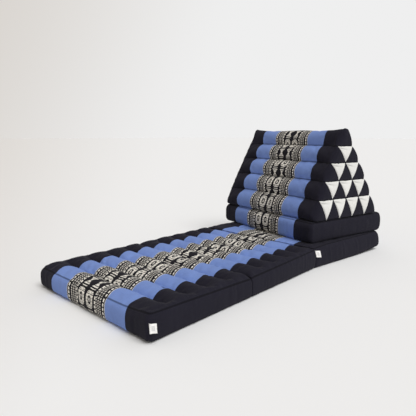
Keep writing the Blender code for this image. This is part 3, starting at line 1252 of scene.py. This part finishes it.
    def _seams(self, s: Array, t: Array, rows: list, shares: Array, count: int) -> dict:
        """Work out the marks of the seams. Each seam's length starts at a number of its own.

        Args:
            s: Shares along the mat.
            t: Shares across it.
            rows: Vertex numbers of the wall levels.
            shares: The levels' shares of the height.
            count: How many vertices there are.

        Returns:
            The skin's crease_shade, along, clear, seam and held.
        """
        phase = np.mod(s * CHANNELS, 1.0)
        valley = from_ends(phase) * CHANNEL
        side = from_ends(t) * WIDTH
        clear_top = np.minimum(valley, side)
        along_top = np.where(valley <= side, t * WIDTH + np.floor(s * CHANNELS + 0.5) * 1.7, s * MAT_LENGTH)
        # The seam lines along the valleys fade where the groove grows shallow near the sides: their darkening
        # stands for the stitching and for painted shade in the groove.
        fading = 0.012 * np.clip(1 - (side - GROOVE_START) / GROOVE_RUN, 0, 1)
        seam_top = np.minimum(np.minimum(side, from_ends(s) * MAT_LENGTH), valley + fading)
        along, clear, seam = np.zeros(count), np.ones(count), np.ones(count)
        held = np.zeros(count, bool)
        size = s.size
        along[:size], clear[:size], seam[:size] = along_top.ravel(), clear_top.ravel(), seam_top.ravel()
        held[:size] = (clear_top < SEWN).ravel()
        outline = np.where(side < SEWN, s * MAT_LENGTH, t * WIDTH + 3.0)
        for row, share in zip(rows, shares):
            here = row[row >= 0]
            along[here] = outline[row >= 0]
            clear[here] = self.loft.seam * min(1 - share, share + 0.05)
            seam[here] = self.loft.seam * (1 - share)
            held[here] = True
        held[-size:] = True
        # The painted shade in the creases fades within a few millimetres of each seam and valley.
        return dict(crease_shade=np.exp(-seam / CREASE_SHADE_RUN), along=along, clear=clear, seam=seam, held=held)

    def settle(self, node: bpy.types.Object) -> None:
        """Keep the underside on its plane and the crowns under what lies on them."""
        points = Maker.places(node)
        highest = self.base + MAT_HEIGHT + (0.002 if self.loft is OPEN else 0.0)
        points[:, 2] = np.clip(points[:, 2], self.base - self.sink * (self.base > 0), highest)
        Maker.move(node, points)


@dataclass
class WedgeCover(Cover):
    """The stuffed wedge: five rows of rolls, each swollen between the creases above and below.

    Attributes:
        name: The piece's name.
        node: The solid it replaces.
        base: Height of its underside.
        seed: Seed of its gathers.
        fullness: How full the padding is; not used.
        steps_deep: Steps of the grid from front to back.
        steps_across: Steps of the grid across the width.
        steps_row: Levels in each row.
    """

    name: str = "cover_wedge"
    node: str = "wedge"
    base: float = 2 * (MAT_HEIGHT + GAP)
    seed: int = 7
    fullness: float = 0.9
    steps_deep: int = 34
    steps_across: int = 64
    steps_row: int = 13

    @staticmethod
    def front_line(height: Array) -> Array:
        """Return the depth of the front creases at a height above the foot."""
        return FRONT_LEAN * height + FRONT_CURVE * height ** 2

    @staticmethod
    def back_line(height: Array) -> Array:
        """Return the depth of the back creases at a height above the foot."""
        share = height / WEDGE_HEIGHT
        return (WEDGE_FOOT_DEPTH - BACK_LEAN * height + BACK_BOW * np.sin(np.pi * share)
                + RIDGE_DEPTH * share ** 8)

    def placed(self, u: Array, v: Array, height: Array) -> Array:
        """Return frame points from depths, widths and heights in the wedge's own turned axes."""
        angle = math.radians(STACK_TURN)
        x = STACK_FRONT.x + u * math.cos(angle) + v * math.sin(angle)
        y = STACK_FRONT.y - u * math.sin(angle) + v * math.cos(angle)
        return np.stack([x, y, np.broadcast_to(self.base + height, x.shape)], -1) + chain_origin()

    def level(self, s: Array, t: Array, height: float, swell: float, spreads: tuple) -> Array:
        """Return a level grid of the wedge, swollen past its crease lines on each side.

        Near the two ends the front creases run shallower, which keeps the ends upright, and
        the corners turn tighter there. The ridge sags between its raised corners.

        Args:
            s: Shares from front to back.
            t: Shares across.
            height: Height above the wedge's foot.
            swell: How full the row stands at this height, 0 at a crease to 1.
            spreads: Swelling past the crease lines at the front, the back and the ends.

        Returns:
            Frame points on the same grid.
        """
        front, back, ends = spreads
        lean = WEDGE_TOP_INSET * height / WEDGE_HEIGHT
        start = self.front_line(height) - front
        depth = self.back_line(height) + back - start
        across = WIDTH - 2 * lean + 2 * ends
        front_radius = WEDGE_FRONT_CORNER * (0.35 + 0.65 * swell)
        u, v = rounded(s * depth, t * across, (depth, across), min(front_radius, 0.45 * depth),
                       min(WEDGE_BACK_CORNER, 0.45 * depth))
        from_end = np.minimum(v, across - v)
        fill = CREASE_FILL * (1 - swell) * min(height / CREASE_FILL_RISE, 1.0)
        u = u - fill * np.exp(-(from_end / CREASE_FILL_RUN) ** 2) * (1 - u / depth)
        lift = np.clip((height - WEDGE_HEIGHT + RIDGE_RUN) / RIDGE_RUN, 0, 1) ** 2
        sag = RIDGE_SAG * lift * (1 - np.abs(2 * v / across - 1) ** 4)
        return self.placed(u + start, v + lean - ends, height - sag)

    def skin(self) -> Skin:
        """Work the wedge out as one closed skin: a pile of swollen rows with a crowned top.

        Each row swells by the arch of its own share of height, and the top row stops short of
        its arch's end. The front carries the stripes and the rest lies on the navy.

        Returns:
            The skin, in the frame's place.
        """
        s, t = np.meshgrid(evenly(self.steps_deep, 0.09), evenly(self.steps_across, 0.055), indexing="ij")
        phases = evenly(self.steps_row, 0.07)[1:]
        levels, clears = [], []
        for row, (foot, row_height) in enumerate(zip(ROW_BOUNDS, ROW_HEIGHTS)):
            last = row == len(ROW_HEIGHTS) - 1
            for phase in phases[:-1] if last else phases:
                swell = float(arch(np.array(phase * TOP_PHASE if last else phase)))
                rolls = (FRONT_ROLL * swell, BACK_ROLL * swell, END_ROLL * swell)
                levels.append(self.level(s, t, foot + phase * row_height, swell, rolls))
                clears.append(row_height * (phase if last else min(phase, 1 - phase)))
        bottom = self.level(s, t, 0.0, 0.0, (-0.004, -0.004, -0.004))
        top = self.level(s, t, WEDGE_HEIGHT, 0.5, (0.003, 0.001, -0.001))
        points, top_index, rows, bottom_index = stacked(top, levels[::-1], bottom)

        panels = Panels()
        plain = np.stack([0.6 * WIDTH + s * 0.1, t * WIDTH], -1)
        panels.add(top_index, plain)
        panels.add(bottom_index, plain, flip=True)
        for side in Side:
            run = wall_run(top_index, rows, bottom_index, side)
            drop = lengths_along(points[run[:, run.shape[1] // 2]])[:, None]
            if side is Side.NEAR:
                across = (t[0, ::-1] - 0.5) * WIDTH
            else:
                across = 0.55 * WIDTH + lengths_along(points[run[len(run) // 2]])
            panels.add(run, np.stack([across + 0 * drop, drop + 0 * across], -1))
        return panels.skin(points, **self._seams(s, t, rows, clears[::-1], len(points)))

    def _seams(self, s: Array, t: Array, rows: list, clears: list, count: int) -> dict:
        """Work out the marks of the creases. Each crease's length starts at a number of its own.

        Args:
            s: Shares from front to back.
            t: Shares across.
            rows: Vertex numbers of the levels, from the top down.
            clears: The levels' distances from the nearest crease.
            count: How many vertices there are.

        Returns:
            The skin's crease_shade, along, clear, seam and held.
        """
        along, clear = np.zeros(count), np.ones(count)
        held = np.zeros(count, bool)
        ends = from_ends(t) < SEWN
        outline = np.where(ends, s * 0.3, t * WIDTH + 3.0)
        for number, (row, near) in enumerate(zip(rows, clears)):
            here = row[row >= 0]
            along[here] = outline[row >= 0] + 0.61 * (number // self.steps_row)
            clear[here] = near
            held[here] = ends[row >= 0] | (near < SEWN)
        held[-s.size:] = True
        # Painted shade darkens the creases between the rows.
        return dict(crease_shade=np.exp(-clear / CREASE_SHADE_RUN), along=along, clear=clear, seam=clear, held=held)

    def end_point(self, u: Array, height: Array, out: Array, left: bool) -> Array:
        """Return points on an end of the wedge, at depths and heights, standing out from it.

        Args:
            u: Depths from the front.
            height: Heights above the wedge's foot.
            out: How far each point stands out from the end's surface.
            left: Whether it is the left end.

        Returns:
            Frame points.
        """
        row = np.clip(np.searchsorted(ROW_BOUNDS, height, side="right") - 1, 0, len(ROW_HEIGHTS) - 1)
        phase = (height - ROW_BOUNDS[row]) / np.asarray(ROW_HEIGHTS)[row]
        v = WEDGE_TOP_INSET * height / WEDGE_HEIGHT - END_ROLL * arch(phase) - out
        return self.placed(u, WIDTH - v if left else v, height)


@dataclass
class WhitePatchwork:
    """The white triangles sewn into one end of the wedge, points down, one more in each row.

    Attributes:
        name: The piece's name.
        wedge: The wedge they are sewn into.
        left: Whether it is the wedge's left end.
        front_margin: From the front creases to a row's first triangle.
        top_margin: Share of that margin for the single triangle at the top.
        back_margin: From a row's last triangle to the back creases.
        gap: Between a triangle and its own share of the row.
        row_gap: Between a triangle and the creases above and below it.
        puff: How far a triangle stands out.
        rim: How far its rim lies under the wedge's surface.
        back: How far its back lies under it.
        fold: Depth of its fold.
        gather: Depth of its gathers.
        least: How far it stands out of its rim at the least.
        steps: Steps of each triangle's grid.
        seed: Seed of the gathers.
    """

    name: str
    wedge: WedgeCover
    left: bool
    front_margin: float = -0.015
    top_margin: float = 0.85
    back_margin: float = 0.002
    gap: float = 0.0006
    row_gap: float = 0.001
    puff: float = 0.0035
    rim: float = 0.0008
    back: float = 0.0022
    fold: float = 0.0019
    gather: float = 0.0008
    least: float = 0.0017
    steps: int = 30
    seed: int = 3

    def corners(self) -> list:
        """Return each triangle's depths at its front and back corners and heights at tip and top."""
        found = []
        for row in range(len(ROW_HEIGHTS) - 1):
            count = len(ROW_HEIGHTS) - 1 - row
            low, high = ROW_BOUNDS[row] + self.row_gap, ROW_BOUNDS[row + 1] - self.row_gap
            front = self.wedge.front_line(high) + self.front_margin * (1 if count > 1 else self.top_margin)
            edges = np.linspace(front, self.wedge.back_line(high) - self.back_margin, count + 1)
            found += [(start + self.gap, end - self.gap, low, high) for start, end in zip(edges, edges[1:])]
        return found

    def skin(self) -> Skin:
        """Work every triangle out as one thin closed pillow.

        Shares a across and b down give a triangle that narrows to its tip. The front stands out
        by a puff that is 0 at the edges. A fold runs down from the top front corner at a slope
        of its own, with fine gathers under the top edge. The back lies under the surface of the
        wedge, and both meet at the rim.

        Returns:
            The skin, in the frame's place.
        """
        a, b = np.meshgrid(evenly(self.steps, 0.08), 0.985 * evenly(self.steps), indexing="ij")
        belly = 0.55 + 0.45 * np.sin(np.pi * np.clip(b, 0, 1)) ** 0.5
        index = np.arange(a.size).reshape(a.shape)
        panels, parts, fold_shade_and_outline = Panels(), [], []
        for number, (start, end, low, high) in enumerate(self.corners()):
            middle, half = (start + end) / 2, (end - start) / 2
            u = middle + (2 * a - 1) * half * (1 - b)
            height = high - b * (high - low)
            inset = np.minimum(from_ends(a) * 2 * half * (1 - b), b * (high - low))
            body = 1 - np.exp(-inset / 0.0022)
            slope = 0.10 + 0.16 * ((0.618 * number) % 1.0)
            fold = np.clip(1.25 - 1.35 * a, 0, 1) * np.exp(-((b - 0.10 - slope * a) / 0.055) ** 2)
            gathers = ripple(a * 0.06, b * 0.02, 0.016, self.seed + number) * np.exp(-b / 0.28)
            relief = self.puff * belly - self.fold * fold + self.gather * gathers
            out = body * np.maximum(relief, self.least) - self.rim
            for lift in (out, np.full(u.shape, -self.back)):
                parts.append(self.wedge.end_point(u, height, lift, self.left).reshape(-1, 3))
            # The fold is darkened with painted shade; the darker rim is the dark outline of the triangle's
            # seams.
            fold_shade_and_outline += [(1.15 * fold * body + 0.55 * np.exp(-inset / 0.0012)).ravel(), np.zeros(u.size)]
            front, back = index + 2 * number * a.size, index + (2 * number + 1) * a.size
            place = np.stack([u, height], -1)
            panels.add(front, place, flip=not self.left)
            panels.add(back, place, flip=self.left)
            panels.add_rim(front, back, flip=not self.left)
        points = np.concatenate(parts)
        shade, one = np.concatenate(fold_shade_and_outline), np.ones(len(points))
        return panels.skin(points, crease_shade=shade, along=one, clear=one, seam=one, held=one < 0)

    def build(self, material: bpy.types.Material) -> bpy.types.Object:
        """Make the patchwork and put it in the frame."""
        node = Maker.mesh_object(self.name, self.skin(), material)
        Maker.enter(node, SlotName.WHITE)
        return node


@dataclass
class ClothLabel:
    """A small white tape label sewn to a mat's right side wall by its near edge.

    Attributes:
        name: The piece's name.
        node: The solid it replaces.
        mat: The mat it is sewn to.
        along: From the mat's near edge to the label's.
        top: Height of its top edge above the mat's underside.
        reach: How far it reaches along the wall.
        flare: How far its loose edge stands off.
        thickness: Its thickness.
        standoff: How far its back is from the wall.
        curl: How far its lower edge curls out.
        steps: Steps of its grid each way.
    """

    name: str
    node: str
    mat: MatCover
    along: float
    top: float
    reach: float = 0.0150
    flare: float = 0.0095
    thickness: float = 0.0011
    standoff: float = 0.0014
    curl: float = 0.0012
    steps: int = 14

    def skin(self) -> Skin:
        """Work the label out as one thin closed sheet that follows the wall and stands off it.

        It starts on the wall at its near edge, stands off by a share of the flare further along,
        and its lower edge curls out by a square of the distance from its top.

        Returns:
            The skin, in the frame's place.
        """
        s, t = np.meshgrid(evenly(self.steps), evenly(self.steps), indexing="ij")
        mat = self.mat
        up = self.top - LABEL_HEIGHT * (1 - t)
        share_up = up / mat.loft.seam
        curl = self.curl * (1 - t) ** 2 * (0.6 + 0.4 * np.cos(2 * np.pi * s)) + 0.0002 * np.sin(9 * s + 5 * t)
        parts = []
        for lift in (self.standoff + self.thickness, self.standoff):
            spread = mat.spread_at(share_up) + lift + curl + self.flare * s
            length = MAT_LENGTH + spread * (mat.near_free + mat.far_free)
            share = (self.along + self.reach * s + spread * mat.near_free) / length
            plan = mat.plan(share, np.zeros_like(t), spread, mat.tuck * share_up ** 2)
            parts.append(np.concatenate([plan, (mat.base + up)[..., None]], -1).reshape(-1, 3))
        front = np.arange(s.size).reshape(s.shape)
        place = np.stack([s * LABEL_WIDTH, t * LABEL_HEIGHT], -1)
        panels = Panels()
        panels.add(front, place)
        panels.add(front + s.size, place, flip=True)
        panels.add_rim(front, front + s.size)
        gap = np.tile(np.minimum(from_ends(s) * LABEL_WIDTH, from_ends(t) * LABEL_HEIGHT).ravel(), 2)
        run = np.tile(place.sum(-1).ravel(), 2)
        return panels.skin(np.concatenate(parts) + chain_origin(), crease_shade=0 * gap, along=run, clear=gap,
                           seam=gap + 0.0012, held=gap < 0)

    def build(self, material: bpy.types.Material) -> bpy.types.Object:
        """Make the label and put it in the frame."""
        node = Maker.mesh_object(self.name, self.skin(), material)
        Maker.enter(node, SlotName.LABEL, self.node)
        return node


# --- Stage and view ----------------------------------------------------------------------
@dataclass(frozen=True)
class Studio:
    """The pale stage: a wide paper floor, an even bright horizon, a dimmer dome and one soft sun.

    The floor's brightness under dome and sun equals the horizon's, so the two run together.

    Attributes:
        horizon: Brightness at the horizon.
        dome: Brightness overhead.
        sun_strength: Strength of the sun.
        sun_from: Direction that the sun shines from.
        sun_angle: The sun's width in degrees.
        reach: Half the floor's width.
        paper: The floor's colour.
        middle: Level direction of the bright band's middle.
        left: Level direction of the room's shaded side.
        shaded: Warm grey of that side.
        corner: The room's near corner, from which the floor's shading is measured.
    """

    horizon: float = 0.862
    dome: float = 0.46
    sun_strength: float = 2.0
    sun_from: tuple = (-0.05, -0.50, 0.865)
    sun_angle: float = 42.0
    reach: float = 60.0
    paper: tuple = (0.86, 0.86, 0.86)
    middle: tuple = (0.7365, 0.6765, 0.0)
    left: tuple = (-0.6765, 0.7365, 0.0)
    shaded: tuple = (0.77, 0.725, 0.675)
    corner: tuple = (-1.222, -0.941, 0.463)

    def build(self) -> None:
        """Make the floor, the sun and the air."""
        bpy.context.scene.view_settings.view_transform = "Standard"
        shade = self._shade()
        self._floor(shade)
        lamp = bpy.data.lights.new("soft sun", "SUN")
        lamp.energy = self.sun_strength
        lamp.angle = math.radians(self.sun_angle)
        node = bpy.data.objects.new("soft sun", lamp)
        node.rotation_euler = Vector(self.sun_from).to_track_quat("Z", "Y").to_euler()
        bpy.context.scene.collection.objects.link(node)
        self._air(shade)

    def _shade(self) -> bpy.types.NodeTree:
        """Build the slow fall in light towards the room's upper left, for floor and air alike.

        Returns:
            The group, from Direction to Tint, white or a warm grey.
        """
        group, graph, given, result = new_group("room shade", {"Direction": "Vector"}, {"Tint": "Color"})
        upper_left = (0.85 * self.left[0], 0.85 * self.left[1], 0.42)
        aside = graph.vector("DOT_PRODUCT", given["Direction"], upper_left)["Value"]
        tint = graph.mix(graph.smooth(aside, 0.02, 0.62), (1.0, 1.0, 1.0), self.shaded)
        graph.feed(result.inputs["Tint"], tint)
        return group

    def _floor(self, shade: bpy.types.NodeTree) -> bpy.types.Object:
        """Make the wide floor.

        Args:
            shade: The room's shading.

        Returns:
            The floor.
        """
        lines = np.linspace(-self.reach, self.reach, 5)
        x, y = np.meshgrid(lines, lines, indexing="ij")
        zero = np.zeros(x.size)
        panels = Panels()
        panels.add(np.arange(x.size).reshape(x.shape), np.stack([x, y], -1))
        points = np.stack([x.ravel(), y.ravel(), zero], -1)
        skin = panels.skin(points, crease_shade=zero, along=zero, clear=zero, seam=zero, held=zero > 0)
        return Maker.mesh_object("stage_floor", skin, self._paper(shade))

    def _paper(self, shade: bpy.types.NodeTree) -> bpy.types.Material:
        """Make the stage's matt white, shaded by direction from the room's near corner.

        Args:
            shade: The room's shading.

        Returns:
            The material.
        """
        material = bpy.data.materials.new("stage_paper")
        material.use_nodes = True
        graph = Graph(material.node_tree)
        shader = material.node_tree.nodes["Principled BSDF"]
        place = graph.add("ShaderNodeTexCoord").outputs["Object"]
        unit = graph.add("ShaderNodeVectorMath", operation="NORMALIZE")
        graph.feed(unit.inputs[0], graph.vector("SUBTRACT", place, self.corner)[0])
        room = graph.group(shade, Direction=unit.outputs[0])
        graph.feed(shader.inputs["Base Color"], graph.mix(1.0, self.paper, room["Tint"], "MULTIPLY"))
        shader.inputs["Roughness"].default_value = 1.0
        shader.inputs["Specular IOR Level"].default_value = 0.0
        return material

    def _air(self, shade: bpy.types.NodeTree) -> None:
        """Make the surroundings: a bright even band by the horizon, widest ahead, and a dim dome.

        Args:
            shade: The room's shading.
        """
        world = bpy.data.worlds.new("studio air")
        world.use_nodes = True
        graph = Graph(world.node_tree)
        direction = graph.add("ShaderNodeTexCoord").outputs["Generated"]
        widen = graph.smooth(graph.vector("DOT_PRODUCT", direction, self.middle)["Value"], 0.2, 0.7)
        high = graph.smooth(graph.scaled(widen, -0.24, graph.parts(direction)[2]), 0.10, 0.37)
        back = world.node_tree.nodes["Background"]
        graph.feed(back.inputs["Color"], graph.group(shade, Direction=direction)["Tint"])
        graph.feed(back.inputs["Strength"], graph.scaled(high, self.dome - self.horizon, self.horizon))
        bpy.context.scene.world = world


@dataclass(frozen=True)
class View:
    """The camera: its place from the chain's origin, its heading, its drop and its lens."""

    place: tuple = (-0.5771, -0.6985, 0.4629)
    heading: float = 42.57
    drop: float = 9.71
    lens: float = 36.8
    sensor: float = 36.0

    def build(self) -> None:
        """Make the camera and put it to use."""
        camera = bpy.data.cameras.new("view")
        camera.sensor_width = self.sensor
        camera.lens = self.lens
        node = bpy.data.objects.new("view", camera)
        node.location = Vector(self.place) + Vector(chain_origin())
        turn, dip = math.radians(self.heading), math.radians(self.drop)
        sight = Vector((math.cos(turn) * math.cos(dip), math.sin(turn) * math.cos(dip), -math.sin(dip)))
        node.rotation_euler = sight.to_track_quat("-Z", "Y").to_euler()
        bpy.context.scene.collection.objects.link(node)
        bpy.context.scene.camera = node


# --- The set -----------------------------------------------------------------------------
FIRST_JOINT = Edge(MAT_LENGTH - FIRST_SHIFT, 0.0, FIRST_TURN)
SECOND_JOINT = Edge(2 * MAT_LENGTH - SECOND_SHIFT, 0.0, SECOND_TURN)

MAT_COVERS = (
    MatCover("cover_foot", "mat_foot", near=Edge(WALL_BULGE - FOOT_SHIFT, 0.0, FOOT_TURN),
             far=Edge(FIRST_JOINT.x - JOINT, 0.0, FIRST_TURN), near_free=END_SWELL,
             far_free=JOINED_SWELL, pulls=(0.009, -0.006), seed=1),
    MatCover("cover_middle", "mat_middle", near=Edge(FIRST_JOINT.x + JOINT, 0.0, FIRST_TURN),
             far=Edge(SECOND_JOINT.x - JOINT, 0.0, SECOND_TURN), near_free=JOINED_SWELL,
             far_free=JOINED_SWELL, pulls=(-0.004, 0.006), seed=2),
    MatCover("cover_lower", "mat_lower", near=Edge(SECOND_JOINT.x + JOINT, -0.001, SECOND_TURN),
             far=STACK_BACK, loft=LOADED, near_free=JOINED_SWELL, tuck=0.010, sink=0.004,
             corner_lift=0.012, seed=3),
    MatCover("cover_upper", "mat_upper", near=STACK_FRONT.further(UPPER_SHIFT).turned(UPPER_TURN),
             far=STACK_FRONT.further(MAT_LENGTH + STACK_SLACK - WALL_BULGE), loft=PRESSED,
             base=MAT_HEIGHT + GAP, near_free=UPPER_SWELL, sink=0.004, seed=4),
)


def main() -> None:
    """Build the set in order and report each piece."""
    logging.basicConfig(level=logging.INFO, format="%(message)s")
    effects = ClothEffects()
    striped = StripedCotton("striped_cotton", colour=(0.0140, 0.0130, 0.0215)).material(effects)
    white = Cotton("white_cotton", colour=(0.765, 0.757, 0.728), fleck=0.10, relief=0.00016).material(effects)
    tape = LabelTape("label_tape", colour=(0.90, 0.89, 0.87), fleck=0.05, threads=1400.0,
                     relief=0.00006).material(effects)
    View().build()
    Studio().build()
    wedge = WedgeCover()
    for cover in (*MAT_COVERS, wedge):
        cover.build(striped, Stuffing())
    for left in (False, True):
        WhitePatchwork("patches_left" if left else "patches_right", wedge, left).build(white)
    foot, _, lower, _ = MAT_COVERS
    ClothLabel("label_foot_tape", "label_foot", foot, along=-0.009, top=0.052).build(tape)
    ClothLabel("label_lower_tape", "label_lower", lower, along=-0.001, top=0.064, reach=0.0130).build(tape)


if __name__ == "__main__":
    main()
